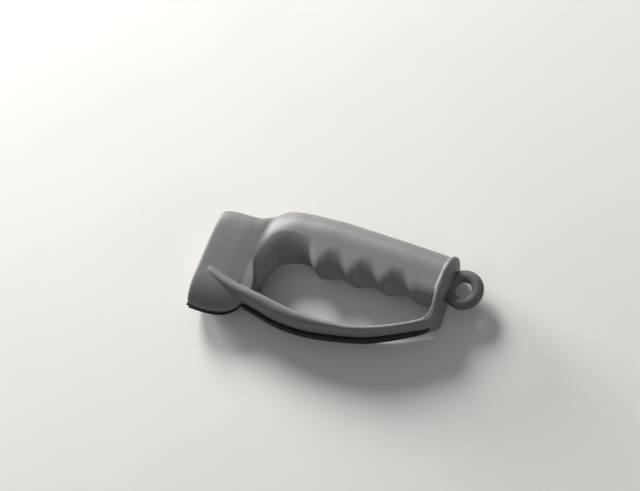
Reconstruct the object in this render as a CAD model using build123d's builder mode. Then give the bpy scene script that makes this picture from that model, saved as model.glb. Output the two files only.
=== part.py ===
# Pull-through knife sharpener with a finger guard, in millimetres.
# It lies on its side. The handle runs along X with the sharpening head at -X and the hanging eye at +X.
# The knife slot faces -Y, and the two shells meet on a level plane half way up.
import math
import os

from build123d import *

os.makedirs("parts", exist_ok=True)

# Driving dimensions
body_length = 121.0  # front of the head to the outer face of the end plate
body_height = 65.0  # lowest point of the head to the top of the end plate
body_width = 21.0  # across both shells
block_inset = 0.6  # from the rounded foot of the head up to the flat foot of the guide block
fit = 0.1  # gap round each piece that is trapped between the shells
overrun = 5.0  # how far a cut runs past the face it opens
quarter_turn = 90.0

eye_centre_reach = 8.4  # eye centre beyond the end plate
eye_ring_radius = 7.1
eye_wire_radius = 3.0
eye_bore_radius = 4.3

half_width = body_width / 2
eye_reach = eye_centre_reach + eye_ring_radius + eye_wire_radius
front_x = -(body_length + eye_reach) / 2
mid_z = half_width
seam = Plane.XY.offset(mid_z)

# Head and neck: distance from the front, top, both ends of the flat side, bottom, half thickness,
# then the roundness of the upper and lower quarter of the section
head_section_shares = [
    (0.000, 0.752, 0.31, 0.26, 0.018, 0.925, 6.0, 2.1),
    (0.005, 0.773, 0.31, 0.26, 0.008, 0.975, 6.0, 2.1),
    (0.016, 0.790, 0.31, 0.26, 0.004, 0.995, 6.0, 2.1),
    (0.050, 0.806, 0.31, 0.26, 0.003, 0.985, 6.0, 2.1),
    (0.091, 0.813, 0.33, 0.28, 0.007, 0.935, 5.5, 2.1),
    (0.132, 0.817, 0.37, 0.32, 0.020, 0.860, 5.0, 2.2),
    (0.165, 0.828, 0.44, 0.39, 0.044, 0.800, 4.2, 2.3),
    (0.194, 0.860, 0.52, 0.47, 0.091, 0.765, 3.6, 2.3),
    (0.219, 0.903, 0.61, 0.56, 0.150, 0.765, 3.1, 1.95),
    (0.240, 0.934, 0.69, 0.65, 0.200, 0.785, 2.8, 1.6),
    (0.257, 0.950, 0.75, 0.71, 0.310, 0.805, 2.7, 1.42),
    (0.271, 0.959, 0.78, 0.745, 0.412, 0.825, 2.6, 1.36),
    (0.286, 0.965, 0.795, 0.765, 0.482, 0.840, 2.5, 1.34),
    (0.305, 0.970, 0.81, 0.780, 0.533, 0.865, 2.5, 1.34),
    (0.335, 0.977, 0.82, 0.790, 0.568, 0.885, 2.4, 1.36),
    (0.380, 0.983, 0.82, 0.790, 0.592, 0.905, 2.4, 1.42),
    (0.430, 0.988, 0.80, 0.765, 0.572, 0.915, 2.4, 1.65),
]
lowest_share = min(row[4] for row in head_section_shares)
base_y = -(body_height * (1 + lowest_share) + block_inset) / 2


def along(share):
    return front_x + share * body_length


def up(share):
    return base_y + share * body_height


def across(x):
    # Plane square to the handle, with its first axis along Y and its second along Z
    return Plane(origin=(x, 0, mid_z), x_dir=(0, 1, 0), z_dir=(1, 0, 0))


# Handle: four finger grooves at one pitch under a slightly arched back
groove_pitch = 17.5
groove_depth = 2.9
grooves_after_crest = 3
groove_side_rise = 3.0
first_crest_share = 0.483
stations_per_groove = 4
handle_end_share = 0.992
back_peak_share = 0.53
handle_back_share = 0.995
handle_back_end_share = 0.982
crest_line_shares = (0.535, 0.568)
side_top_share = 0.795
side_level_share = 0.715
handle_thickness_shares = (0.915, 0.895)
handle_roundness = 2.4
crest_roundness = 2.1
groove_roundness = 1.5

# Guard band: distance from the front, inner face, crown of the outer face, half width.
# Its middle is a hair wider than the body, and is planed to the body's width, so that it rests flat.
band_section_shares = [
    (0.033, 0.345, 0.270, 0.940),
    (0.066, 0.325, 0.235, 0.990),
    (0.099, 0.306, 0.208, 1.003),
    (0.149, 0.280, 0.182, 1.003),
    (0.198, 0.262, 0.160, 1.003),
    (0.248, 0.251, 0.145, 1.003),
    (0.298, 0.241, 0.125, 1.003),
    (0.355, 0.225, 0.102, 1.003),
    (0.413, 0.208, 0.088, 1.003),
    (0.479, 0.197, 0.086, 1.003),
    (0.545, 0.194, 0.096, 1.003),
    (0.620, 0.201, 0.120, 1.003),
    (0.698, 0.217, 0.150, 0.970),
    (0.777, 0.260, 0.191, 0.920),
    (0.843, 0.311, 0.244, 0.870),
    (0.901, 0.366, 0.297, 0.815),
    (0.955, 0.427, 0.349, 0.765),
    (0.992, 0.472, 0.397, 0.725),
    (1.003, 0.484, 0.420, 0.710),
    (1.012, 0.475, 0.445, 0.700),
]
rim_front_share = 0.04154  # height of the band's side face at the head
rim_back_share = 0.02615  # and at the end plate
rim_round = 0.7


def quarter(corner_y, side_y, thickness, roundness, angles):
    # Points of a superellipse quarter between the seam and the side of a section
    points = []
    for angle in angles:
        spread = (math.cos(angle) ** roundness + math.sin(angle) ** roundness) ** (1 / roundness)
        reach = math.sin(angle) / spread
        rise = round(math.cos(angle) / spread, 9)
        points.append((side_y + (corner_y - side_y) * reach, thickness * rise))
    return points


def body_rows():
    rows = []
    for x, top, high, low, bottom, thick, over, under in head_section_shares:
        rows.append((along(x), up(top), up(high), up(low), up(bottom), thick * half_width, over, under))
    start = first_crest_share * body_length
    end = handle_end_share * body_length
    step = groove_pitch / stations_per_groove
    count = int((end - start) / step)
    for index in range(count + 1):
        distance = start + index * step
        if index == count:
            distance = end
        swing = (1 - math.cos(2 * math.pi * (distance - start) / groove_pitch)) / 2
        if distance - start > grooves_after_crest * groove_pitch:
            swing = 0
        share = distance / body_length
        run = (distance - start) / (end - start)
        fall = ((share - back_peak_share) / (handle_end_share - back_peak_share)) ** 2
        top = handle_back_share + (handle_back_end_share - handle_back_share) * fall
        crest = crest_line_shares[0] + (crest_line_shares[1] - crest_line_shares[0]) * run
        thin = handle_thickness_shares[0]
        thin += (handle_thickness_shares[1] - thin) * run
        rows.append(
            (
                along(share),
                up(top),
                up(side_top_share),
                up(side_level_share) + groove_side_rise * swing,
                up(crest) + groove_depth * swing,
                thin * half_width,
                handle_roundness,
                crest_roundness + (groove_roundness - crest_roundness) * swing,
            )
        )
    return rows


quarter_steps = 6
rising = [math.pi / 2 * (1 - step / quarter_steps) for step in range(quarter_steps + 1)]
knots = [step / quarter_steps for step in range(quarter_steps + 1)]


def flowing(points, leaving, arriving):
    # Curve through points at even steps, with the directions in which it leaves and arrives
    first = math.dist(points[0], points[1]) * quarter_steps
    last = math.dist(points[-2], points[-1]) * quarter_steps
    ends = [(leaving[0] * first, leaving[1] * first), (arriving[0] * last, arriving[1] * last)]
    return Edge.make_spline(points, tangents=ends, parameters=knots, scale=False)


def body_section(row):
    # Half section of the head or handle, standing on the seam
    x, top, high, low, bottom, thickness, over, under = row
    lower = quarter(bottom, low, thickness, under, rising)
    upper = quarter(top, high, thickness, over, rising[::-1])
    with BuildSketch(across(x)) as section:
        with BuildLine():
            add(flowing(lower, (0, 1), (1, 0)))
            Line((low, thickness), (high, thickness))
            add(flowing(upper, (1, 0), (0, -1)))
            Line((top, 0), (bottom, 0))
        make_face()
    return section.sketch


def band_section(row):
    # Half section of the guard: flat inside, a narrow side face, and a crowned outside
    x_share, inner, crown, width = row
    rim = body_height * (rim_front_share + (rim_back_share - rim_front_share) * x_share)
    inside = up(inner)
    outside = up(crown)
    side = width * half_width
    shoulder = inside - rim
    with BuildSketch(across(along(x_share))) as section:
        with BuildLine():
            Line((inside, 0), (inside, side - rim_round))
            RadiusArc((inside, side - rim_round), (inside - rim_round, side), -rim_round)
            Line((inside - rim_round, side), (shoulder, side))
            EllipticalCenterArc(
                (shoulder, 0), shoulder - outside, side, start_angle=quarter_turn, arc_size=quarter_turn
            )
            Line((outside, 0), (inside, 0))
        make_face()
    return section.sketch


with BuildPart() as body_half:
    for row in body_rows():
        add(body_section(row))
    loft()

with BuildPart() as band_half:
    for row in band_section_shares:
        add(band_section(row))
    loft()


# End plate: a tongue with a round top, whose foot leans out and turns in a round corner into the guard
plate_thickness = 1.9
plate_foot_reach = 2.7  # how far the foot stands beyond the plate
plate_foot_thickness = 2.7
plate_foot_round = 4.4
plate_heel_back = 1.0  # from the plate's outer face back to where the foot's round ends
plate_rim_round = 0.6
plate_foot_shares = (0.700, 0.600, 0.512, 0.426)
plate_crook_shares = (0.972, 0.442)
plate_foot_width_share = 0.7
plate_waist_width_share = 0.9
plate_lean_share = 0.42
plate_top = up(1.0)
plate_back = along(1.0)
plate_face = plate_back - plate_thickness
bend_y, lean_y, foot_y, heel_y = [up(share) for share in plate_foot_shares]
foot_x = plate_back + plate_foot_reach
heel_x = plate_back - plate_heel_back
crook = (along(plate_crook_shares[0]), up(plate_crook_shares[1]))
foot_half_width = plate_foot_width_share * half_width

with BuildPart() as plate_half:
    with BuildSketch(seam):
        with BuildLine():
            Line((plate_face, plate_top), (plate_back, plate_top))
            Line((plate_back, plate_top), (plate_back, bend_y))
            Spline(
                (plate_back, bend_y),
                (plate_back + plate_lean_share * plate_foot_reach, lean_y),
                (foot_x, foot_y),
                tangents=[(0, -1), (0, -1)],
            )
            RadiusArc((foot_x, foot_y), (heel_x, heel_y), plate_foot_round)
            Line((heel_x, heel_y), crook)
            Spline(
                crook,
                (foot_x - plate_foot_thickness, foot_y),
                (plate_face + plate_lean_share * plate_foot_reach, lean_y),
                (plate_face, bend_y),
                tangents=[(0.8, 0.6), (0, 1)],
            )
            Line((plate_face, bend_y), (plate_face, plate_top))
        make_face()
    extrude(amount=half_width)
    with BuildSketch(across(0)):
        with BuildLine():
            Line((-body_height, 0), (plate_top, 0))
            RadiusArc((plate_top, 0), (plate_top - half_width, half_width), -half_width)
            Spline(
                (plate_top - half_width, half_width),
                (lean_y, plate_waist_width_share * half_width),
                (heel_y, foot_half_width),
                tangents=[(-1, 0), (-1, -0.25)],
            )
            Line((heel_y, foot_half_width), (-body_height, foot_half_width))
            Line((-body_height, foot_half_width), (-body_height, 0))
        make_face()
    extrude(amount=body_length, both=True, mode=Mode.INTERSECT)
    rims = plate_half.edges().filter_by(lambda edge: edge.center().Z > mid_z + plate_rim_round)
    rims = rims.filter_by(lambda edge: edge.center().Y > foot_y and edge.length > half_width)
    fillet(rims, plate_rim_round)

with BuildPart() as outside_half:
    add(body_half.part)
    add(band_half.part)
    add(plate_half.part)
    split(bisect_by=Plane.XY.offset(mid_z + half_width), keep=Keep.BOTTOM)


# Guide block: it fills the foot of the head, is let into both shells and holds the carbide blades
block_half_width = 3.5
block_wide_half_width = 5.6
block_front_wall = 2.0
block_level_share = 0.016  # ahead of this the foot runs straight on to the front
block_split_share = 0.066
block_back_share = 0.140
block_tail_share = 0.219
nose_top_share = 0.138
wide_bottom_share = 0.116
block_top_share = 0.285
tail_top_share = 0.172
slot_mouth = 3.0
slot_root = 1.0
slot_top_share = 0.112

block_split_x = along(block_split_share)
block_back_x = along(block_back_share)
block_tail_x = along(block_tail_share)
block_cheek_x = front_x + block_front_wall
ahead_x = front_x - overrun
nose_y = up(nose_top_share)
block_top = up(block_top_share)
tail_top = up(tail_top_share)
wide_bottom = up(wide_bottom_share)
slot_top = up(slot_top_share)
slot_flare = (slot_mouth - slot_root) / 2 / (slot_top - base_y)
foot_line = [(front_x, up(lowest_share))]
foot_line += [
    (along(row[0]), up(row[4])) for row in head_section_shares if block_level_share <= row[0] <= block_tail_share
]


def block_shape(skin, gap):
    # The block before its front is cut flush or, with a gap and a deep skin, the pocket it lies in
    with BuildPart() as shape:
        with BuildSketch(seam):
            with BuildLine():
                foot = Spline(*[(x, y - skin) for x, y in foot_line])
                Polyline(
                    foot @ 1,
                    (block_tail_x + gap, tail_top + gap),
                    (block_back_x + gap, tail_top + gap),
                    (block_back_x + gap, block_top + gap),
                    (block_cheek_x - gap, block_top + gap),
                    (block_cheek_x - gap, nose_y + gap),
                    (ahead_x, nose_y + gap),
                    (ahead_x, (foot @ 0).Y),
                    foot @ 0,
                )
            make_face()
        extrude(amount=block_half_width + gap, both=True)
        with BuildSketch(seam):
            with BuildLine():
                Polyline(
                    (block_cheek_x - gap, wide_bottom - gap),
                    (block_back_x + gap, wide_bottom - gap),
                    (block_back_x + gap, block_top + gap),
                    (block_cheek_x - gap, block_top + gap),
                    close=True,
                )
            make_face()
        extrude(amount=block_wide_half_width + gap, both=True)
    return shape.part


# Carbide blades: two bars, one behind the other, whose edges cross in the slot
blade_tilt = 20.0
blade_width = 3.0
blade_length = 10.9
blade_thickness = 1.5
blade_below = 1.8  # length of the edge below the crossing
crossing_share = 0.0615
crossing_y = up(crossing_share)


def blade_corners(side, gap):
    lean = math.radians(blade_tilt)
    rise, drift = math.cos(lean), -side * math.sin(lean)
    low = -blade_below - gap
    high = blade_length - blade_below + gap
    near, far = -gap, blade_width + gap
    corners = []
    for climb, reach in ((low, near), (high, near), (high, far), (low, far)):
        y = crossing_y + climb * rise + reach * math.sin(lean)
        z = climb * drift + side * reach * math.cos(lean)
        corners.append((y, z))
    return corners


with BuildPart() as carbide_near:
    with BuildSketch(across(block_split_x)):
        Polygon(*blade_corners(1, 0), align=None)
    extrude(amount=blade_thickness)

with BuildPart() as carbide_far:
    with BuildSketch(across(block_split_x + blade_thickness)):
        Polygon(*blade_corners(-1, 0), align=None)
    extrude(amount=blade_thickness)

# Screws that draw the two halves of the block together
block_screw_radius = 1.0
block_screw_end_wall = 1.34  # left between the screw's tip and the front of the block's wide part
block_screw_head_radius = 1.9
block_screw_head_height = 1.6
block_screw_spread = 3.0
block_screw_level_share = 0.247
block_screw_level = up(block_screw_level_share)
block_screw_seat_x = block_back_x - block_screw_head_height
block_screw_length = block_screw_seat_x - block_cheek_x - block_screw_end_wall
block_screw_places = [(block_screw_level, side * block_screw_spread) for side in (-1, 1)]
hex_key_share = 0.5
socket_depth_share = 0.6

with BuildPart() as block_screws:
    with BuildSketch(across(block_screw_seat_x)):
        with Locations(*block_screw_places):
            Circle(block_screw_head_radius)
    extrude(amount=block_screw_head_height)
    with BuildSketch(across(block_screw_seat_x)):
        with Locations(*block_screw_places):
            Circle(block_screw_radius)
    extrude(amount=-block_screw_length)
    with BuildSketch(across(block_back_x)):
        with Locations(*block_screw_places):
            RegularPolygon(hex_key_share * block_screw_head_radius, 6)
    extrude(amount=-socket_depth_share * block_screw_head_height, mode=Mode.SUBTRACT)

with BuildPart() as guide_block:
    add(block_shape(-block_inset, 0))
    split(bisect_by=Plane.YZ.offset(front_x), keep=Keep.TOP)
    with BuildSketch(across(ahead_x)):
        with BuildLine():
            Polyline(
                (slot_top, slot_root / 2),
                (base_y - overrun, slot_mouth / 2 + slot_flare * overrun),
                (base_y - overrun, -slot_mouth / 2 - slot_flare * overrun),
                (slot_top, -slot_root / 2),
                close=True,
            )
        make_face()
    extrude(amount=body_length, mode=Mode.SUBTRACT)

with BuildPart() as guide_block_front:
    add(guide_block.part)
    split(bisect_by=Plane.YZ.offset(block_split_x), keep=Keep.BOTTOM)
    with BuildSketch(across(block_split_x)):
        with Locations(*block_screw_places):
            Circle(block_screw_radius)
    extrude(amount=-(block_screw_length - (block_screw_seat_x - block_split_x) + fit), mode=Mode.SUBTRACT)

with BuildPart() as guide_block_rear:
    add(guide_block.part)
    split(bisect_by=Plane.YZ.offset(block_split_x), keep=Keep.TOP)
    with BuildSketch(across(block_split_x)):
        Polygon(*blade_corners(1, fit), align=None)
    extrude(amount=blade_thickness, mode=Mode.SUBTRACT)
    with BuildSketch(across(block_split_x)):
        Polygon(*blade_corners(-1, fit), align=None)
    extrude(amount=2 * blade_thickness, mode=Mode.SUBTRACT)
    with BuildSketch(across(block_split_x)):
        with Locations(*block_screw_places):
            Circle(block_screw_radius + fit)
    extrude(amount=body_length, mode=Mode.SUBTRACT)
    with BuildSketch(across(block_screw_seat_x)):
        with Locations(*block_screw_places):
            Circle(block_screw_head_radius + fit)
    extrude(amount=body_length, mode=Mode.SUBTRACT)

# Guard strip: a soft black strip let into the crown of the guard, thinning out at the end plate
strip_half_width = 3.0
strip_depth = 1.4
strip_stand = 1.7
strip_crown_share = 0.45
strip_thin_from_share = 0.68
strip_thin_to_share = 0.985
strip_tail_share = 0.97
strip_gap = 0.3


def guard_crown(share):
    # Y of the guard's outer crown at a share of the body's length
    for before, after in zip(band_section_shares, band_section_shares[1:]):
        if before[0] <= share <= after[0]:
            run = (share - before[0]) / (after[0] - before[0])
            return up(before[2] + (after[2] - before[2]) * run)
    return up(band_section_shares[-1][2])


strip_start_share = (block_tail_x + strip_gap - front_x) / body_length
strip_shares = [strip_start_share]
strip_shares += [row[0] for row in band_section_shares if strip_start_share < row[0] < strip_tail_share]
strip_shares += [strip_thin_to_share]


def strip_shape(half, deep, stand, crown):
    with BuildPart() as shape:
        for share in strip_shares:
            late = max(0, (share - strip_thin_from_share) / (strip_thin_to_share - strip_thin_from_share))
            out = stand * (1 - late**2) + crown
            line = guard_crown(share)
            with BuildSketch(across(along(share))):
                with BuildLine():
                    Line((line + deep, -half), (line + deep, half))
                    Line((line + deep, half), (line - out * (1 - strip_crown_share), half))
                    ThreePointArc(
                        (line - out * (1 - strip_crown_share), half),
                        (line - out, 0),
                        (line - out * (1 - strip_crown_share), -half),
                    )
                    Line((line - out * (1 - strip_crown_share), -half), (line + deep, -half))
                make_face()
        loft()
    return shape.part


strip_least = 0.15  # the strip's last stand above the crown
with BuildPart() as guard_strip:
    add(strip_shape(strip_half_width, strip_depth, strip_stand, strip_least))

# Hanging eye: a moulded ring with a stem and a flange trapped behind the end plate
eye_level_share = 0.777
eye_stem_half_height = 4.0
eye_stem_half_width = 2.4
eye_flange_half_height = 6.0
eye_flange_half_width = 3.6
eye_flange_thickness = 2.5
eye_flange_gap = 1.5  # from the flange to the inner face of the end plate
eye_x = plate_back + eye_centre_reach
eye_y = up(eye_level_share)
eye_flange_x = plate_face - eye_flange_gap - eye_flange_thickness


def eye_root(gap, end):
    with BuildPart() as shape:
        with BuildSketch(across(eye_flange_x - gap)):
            with Locations((eye_y, 0)):
                Rectangle(2 * (eye_flange_half_height + gap), 2 * (eye_flange_half_width + gap))
        extrude(amount=eye_flange_thickness + 2 * gap)
        with BuildSketch(across(eye_flange_x)):
            with Locations((eye_y, 0)):
                Rectangle(2 * (eye_stem_half_height + gap), 2 * (eye_stem_half_width + gap))
        extrude(amount=end - eye_flange_x)
    return shape.part


with BuildPart() as hanging_eye:
    with Locations((eye_x, eye_y, mid_z)):
        Torus(eye_ring_radius, eye_wire_radius)
    split(bisect_by=Plane.YZ.offset(plate_back), keep=Keep.TOP)
    add(eye_root(0, plate_back + eye_wire_radius))
    with BuildSketch(seam):
        with Locations((eye_x, eye_y)):
            Circle(eye_bore_radius)
    extrude(amount=half_width, both=True, mode=Mode.SUBTRACT)

# Shell screws: four thread-forming screws driven from the far side
screw_place_shares = [(0.095, 0.577), (0.236, 0.760), (0.545, 0.808), (0.870, 0.808)]
screw_places = [(along(x), up(y)) for x, y in screw_place_shares]
screw_radius = 1.5
screw_length = 10.0
screw_head_radius = 2.75
screw_head_height = 2.2
screw_head_gap = 0.25
screw_seat_z = 6.0
screw_tip_gap = 0.5
screw_cross = 0.9
boss_radius = 4.0

with BuildPart() as shell_screws:
    with BuildSketch(Plane.XY.offset(screw_seat_z)):
        with Locations(*screw_places):
            Circle(screw_radius)
    extrude(amount=screw_length)
    with BuildSketch(Plane.XY.offset(screw_seat_z)):
        with Locations(*screw_places):
            Circle(screw_head_radius)
    extrude(amount=-screw_head_height)
    with BuildSketch(Plane.XY.offset(screw_seat_z - screw_head_height)):
        with Locations(*screw_places):
            Rectangle(screw_head_radius, screw_cross)
            Rectangle(screw_cross, screw_head_radius)
    extrude(amount=socket_depth_share * screw_head_height, mode=Mode.SUBTRACT)

# Hollows: one in the head above the block and one along the handle, with the screw bosses left in
head_hollow_shares = (0.030, 0.150, 0.335, 0.690)
head_hollow_half_width = 6.4
handle_hollow_shares = (0.320, 0.925, 0.690, 0.915)
handle_hollow_half_width = 6.2
hollow_round = 2.5


with BuildPart() as hollows:
    for shares, half in (
        (head_hollow_shares, head_hollow_half_width),
        (handle_hollow_shares, handle_hollow_half_width),
    ):
        left, right, bottom, top = along(shares[0]), along(shares[1]), up(shares[2]), up(shares[3])
        with BuildSketch(seam):
            with Locations(((left + right) / 2, (bottom + top) / 2)):
                RectangleRounded(right - left, top - bottom, hollow_round)
        extrude(amount=half, both=True)
    with BuildSketch(seam):
        with Locations(*screw_places):
            Circle(boss_radius)
    extrude(amount=half_width, both=True, mode=Mode.SUBTRACT)

block_pocket = block_shape(overrun, fit)
strip_channel = strip_shape(strip_half_width + fit, strip_depth + fit, strip_stand, overrun)
eye_pocket = eye_root(fit, plate_back + overrun)

with BuildPart() as near_shell:
    add(outside_half.part)
    add(hollows.part, mode=Mode.SUBTRACT)
    add(block_pocket, mode=Mode.SUBTRACT)
    add(strip_channel, mode=Mode.SUBTRACT)
    add(eye_pocket, mode=Mode.SUBTRACT)
    with BuildSketch(seam):
        with Locations(*screw_places):
            Circle(screw_radius)
    extrude(amount=screw_seat_z + screw_length + screw_tip_gap - mid_z, mode=Mode.SUBTRACT)

with BuildPart() as far_shell:
    add(mirror(outside_half.part, about=seam))
    add(hollows.part, mode=Mode.SUBTRACT)
    add(block_pocket, mode=Mode.SUBTRACT)
    add(strip_channel, mode=Mode.SUBTRACT)
    add(eye_pocket, mode=Mode.SUBTRACT)
    with BuildSketch(Plane.XY):
        with Locations(*screw_places):
            Circle(screw_radius + fit)
    extrude(amount=body_width, mode=Mode.SUBTRACT)
    with BuildSketch(Plane.XY.offset(screw_seat_z)):
        with Locations(*screw_places):
            Circle(screw_head_radius + screw_head_gap)
    extrude(amount=-overrun - screw_seat_z, mode=Mode.SUBTRACT)

pieces = {
    "near_shell": near_shell,
    "far_shell": far_shell,
    "guide_block_front": guide_block_front,
    "guide_block_rear": guide_block_rear,
    "carbide_near": carbide_near,
    "carbide_far": carbide_far,
    "block_screws": block_screws,
    "guard_strip": guard_strip,
    "hanging_eye": hanging_eye,
    "shell_screws": shell_screws,
}
for name, piece in pieces.items():
    piece.part.label = name
    export_step(piece.part, "parts/" + name + ".step")
    print(name, len(piece.part.solids()), round(piece.part.volume, 1), piece.part.is_valid)
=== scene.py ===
import math

import bmesh
import bpy
from mathutils import Matrix, Vector
from mathutils.kdtree import KDTree


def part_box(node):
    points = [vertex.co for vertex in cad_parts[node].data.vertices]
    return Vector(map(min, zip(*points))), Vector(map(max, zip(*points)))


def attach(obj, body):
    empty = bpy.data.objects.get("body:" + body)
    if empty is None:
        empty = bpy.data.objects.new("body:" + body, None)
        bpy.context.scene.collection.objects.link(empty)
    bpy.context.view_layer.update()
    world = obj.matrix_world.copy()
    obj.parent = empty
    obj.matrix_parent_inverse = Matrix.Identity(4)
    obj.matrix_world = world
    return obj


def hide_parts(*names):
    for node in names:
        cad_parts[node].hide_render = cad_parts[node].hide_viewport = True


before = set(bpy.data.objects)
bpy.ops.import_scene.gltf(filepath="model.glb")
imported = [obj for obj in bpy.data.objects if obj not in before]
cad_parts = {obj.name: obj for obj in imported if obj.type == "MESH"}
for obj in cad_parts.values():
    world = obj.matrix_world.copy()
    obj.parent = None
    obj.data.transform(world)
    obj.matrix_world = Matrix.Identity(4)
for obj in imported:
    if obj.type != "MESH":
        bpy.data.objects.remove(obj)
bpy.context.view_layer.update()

bl_info = {
    "name": "Knife Sharpener",
    "version": (1, 0, 0),
    "blender": (4, 5, 0),
    "location": "View3D > Sidebar > Sharpener",
    "description": "Models a pull-through knife sharpener and sets it on a pale floor",
    "category": "Object",
}

MM = 0.001
BODY = "root"

# The body lies on its side: length along X, height along Y, thickness along Z
NEAR_LOW, NEAR_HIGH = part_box("near_shell")
BODY_LENGTH = 121 * MM
BODY_HEIGHT = 65 * MM
HALF_WIDTH = 10.5 * MM
FRONT_X = NEAR_LOW.x
SEAM_Z = NEAR_LOW.z
BASE_Y = NEAR_HIGH.y - BODY_HEIGHT
FIT = 0.1 * MM
OVERRUN = 5 * MM

# Head and neck: distance from the front, top, both ends of the flat side, bottom, half thickness,
# then the roundness of the upper and lower quarter of the section
HEAD_SHARES = [
    (0.000, 0.752, 0.31, 0.26, 0.036, 0.850, 6.0, 2.1),
    (0.002, 0.763, 0.31, 0.26, 0.027, 0.918, 6.0, 2.1),
    (0.005, 0.773, 0.31, 0.26, 0.021, 0.957, 6.0, 2.1),
    (0.009, 0.781, 0.31, 0.26, 0.018, 0.982, 6.0, 2.1),
    (0.016, 0.790, 0.31, 0.26, 0.015, 0.993, 6.0, 2.1),
    (0.050, 0.806, 0.31, 0.26, 0.011, 0.968, 6.0, 2.1),
    (0.091, 0.813, 0.33, 0.27, 0.012, 0.925, 5.5, 2.1),
    (0.132, 0.817, 0.36, 0.30, 0.024, 0.880, 5.0, 2.2),
    (0.165, 0.828, 0.41, 0.33, 0.047, 0.825, 4.2, 2.3),
    (0.194, 0.860, 0.48, 0.34, 0.091, 0.778, 3.0, 2.4),
    (0.202, 0.874, 0.54, 0.40, 0.109, 0.762, 2.4, 2.3),
    (0.210, 0.889, 0.60, 0.52, 0.129, 0.750, 2.0, 1.9),
    (0.219, 0.903, 0.64, 0.60, 0.150, 0.742, 1.8, 1.5),
    (0.240, 0.934, 0.715, 0.69, 0.200, 0.768, 1.8, 1.25),
    (0.257, 0.950, 0.750, 0.73, 0.310, 0.802, 1.8, 1.18),
    (0.271, 0.959, 0.770, 0.75, 0.412, 0.835, 1.8, 1.16),
    (0.286, 0.965, 0.780, 0.76, 0.482, 0.864, 1.9, 1.16),
    (0.305, 0.970, 0.79, 0.768, 0.530, 0.888, 2.05, 1.2),
    (0.335, 0.977, 0.80, 0.775, 0.562, 0.902, 2.1, 1.28),
    (0.380, 0.983, 0.80, 0.775, 0.590, 0.909, 2.2, 1.45),
    (0.430, 0.988, 0.80, 0.765, 0.596, 0.915, 2.4, 1.65),
    (0.446, 0.989, 0.80, 0.750, 0.580, 0.915, 2.5, 1.85),
    (0.462, 0.990, 0.797, 0.735, 0.556, 0.915, 2.55, 2.20),
    (0.480, 0.992, 0.795, 0.720, 0.541, 0.915, 2.6, 2.65),
]

# Handle: three finger grooves at one pitch behind the scoop of the index finger, under a slightly
# arched back. They lean to the head, and on the side each one opens into a full round lobe.
GROOVE_PITCH = 17.0 * MM
GROOVE_DEPTH = 2.1 * MM
GROOVE_SKEW = -0.12
LOBE_SKEW = 0.10
LOBE_FULLNESS = 2.0
GROOVE_LEAN = 3.2 * MM
LEAN_FROM, LEAN_TO = 0.36, 0.46
GROOVE_SIDE_RISE = 2.8 * MM
GROOVES = 3
GROOVE_STATIONS = 8
FIRST_CREST_SHARE = 0.496
HANDLE_END_SHARE = 0.992
BACK_SHARES = (0.53, 0.995, 0.982)
CREST_SHARES = (0.5375, 0.590)
SIDE_SHARES = (0.795, 0.715)
THICKNESS_SHARES = (0.915, 0.895)
HANDLE_ROUNDNESS = 2.6
CREST_ROUNDNESS = 2.9
GROOVE_ROUNDNESS = 1.75

# Guard: distance from the front, inner face, crown of the outer face, half width
GUARD_SHARES = [
    (0.043, 0.339, 0.258, 0.972),
    (0.066, 0.325, 0.235, 0.997),
    (0.099, 0.306, 0.208, 0.998),
    (0.149, 0.280, 0.182, 0.998),
    (0.198, 0.262, 0.160, 0.998),
    (0.248, 0.251, 0.145, 0.998),
    (0.298, 0.241, 0.125, 0.998),
    (0.355, 0.225, 0.102, 0.998),
    (0.413, 0.208, 0.088, 0.998),
    (0.479, 0.197, 0.086, 0.998),
    (0.545, 0.194, 0.096, 0.998),
    (0.620, 0.201, 0.120, 0.998),
    (0.698, 0.217, 0.150, 0.970),
    (0.777, 0.260, 0.191, 0.920),
    (0.843, 0.311, 0.244, 0.870),
    (0.901, 0.366, 0.297, 0.815),
    (0.955, 0.427, 0.349, 0.765),
    (0.992, 0.472, 0.397, 0.725),
    (1.003, 0.484, 0.420, 0.710),
    (1.012, 0.475, 0.445, 0.700),
]
GUARD_INNER_SHARES = (0, 0.3, 0.6, 0.85)
RIM_SHARES = (0.04154, 0.02615)
RIM_ROUND = 1.5 * MM

# End plate: a tongue with a round top, whose foot leans out and turns into the guard
PLATE_THICKNESS = 1.9 * MM
PLATE_FOOT_REACH = 1.7 * MM
PLATE_FOOT_THICKNESS = 2.7 * MM
PLATE_HEEL_BACK = 1.0 * MM
PLATE_FOOT_ROUND = 5.0 * MM
PLATE_LEAN_SHARE = 0.42
PLATE_BEND, PLATE_LEAN, PLATE_FOOT, PLATE_HEEL = 0.700, 0.600, 0.512, 0.426
PLATE_CROOK = (0.972, 0.442)
PLATE_WAIST_SHARE = 0.9
PLATE_FOOT_SHARE = 0.7
PILLOW_BULGE, PILLOW_SINK = 2.4 * MM, 0.5 * MM
PILLOW_HALF_HEIGHT, PILLOW_HALF_WIDTH = 12.8 * MM, 9.8 * MM
PILLOW_LEVEL = 0.795
TONGUE_SHARES = (0.9, 1.1)

# Web between the head and the root of the guard: its outline in shares of length and height,
# and the place on the head whose section it keeps
WEB_SHARES = [
    (0.160, 0.200),
    (0.253, 0.200),
    (0.251, 0.280),
    (0.238, 0.370),
    (0.214, 0.468),
    (0.160, 0.500),
]
WEB_SECTION = 0.199
WEB_OVERRUN_SHARE = 0.02


def along(share):
    """X at a share of the body's length."""
    return FRONT_X + share * BODY_LENGTH


def up(share):
    """Y at a share of the body's height."""
    return BASE_Y + share * BODY_HEIGHT


def between(start, end, run):
    """Value at a share of the way from start to end."""
    return start + (end - start) * run


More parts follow.
